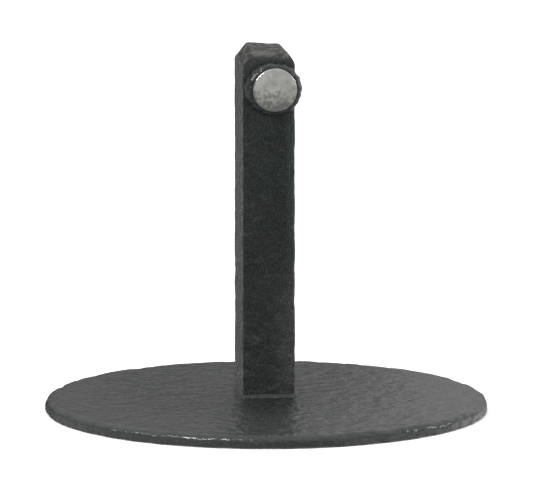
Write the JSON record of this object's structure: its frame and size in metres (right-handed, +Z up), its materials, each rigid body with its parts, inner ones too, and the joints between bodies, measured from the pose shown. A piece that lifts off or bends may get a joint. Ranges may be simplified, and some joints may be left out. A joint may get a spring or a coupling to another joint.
{
  "type": "post stand",
  "caption": "Welded steel post stand: a flat round plate foot, a square upright bar with its top corners cut off, and a short round stub with a bare end face near the top.",
  "frame": {"origin": "centre of the round plate's underside, on the surface the stand rests on", "axes": "+Z up along the bar; -Y is the front, where the stub points; +X is to the right seen from the front"},
  "size_m": [0.2064, 0.2064, 0.1705],
  "materials": {
    "black_paint": "glossy black hammered paint over steel",
    "bare_steel": "machined end face, slightly dull and mottled; the side is painted"
  },
  "bodies": {
    "root": {"base_disc": "black_paint", "upright_bar": "black_paint", "stub_pin": "bare_steel", "stub_weld": "black_paint", "foot_weld_front": "black_paint", "foot_weld_back": "black_paint", "foot_weld_left": "black_paint", "foot_weld_right": "black_paint"}
  },
  "joints": []
}
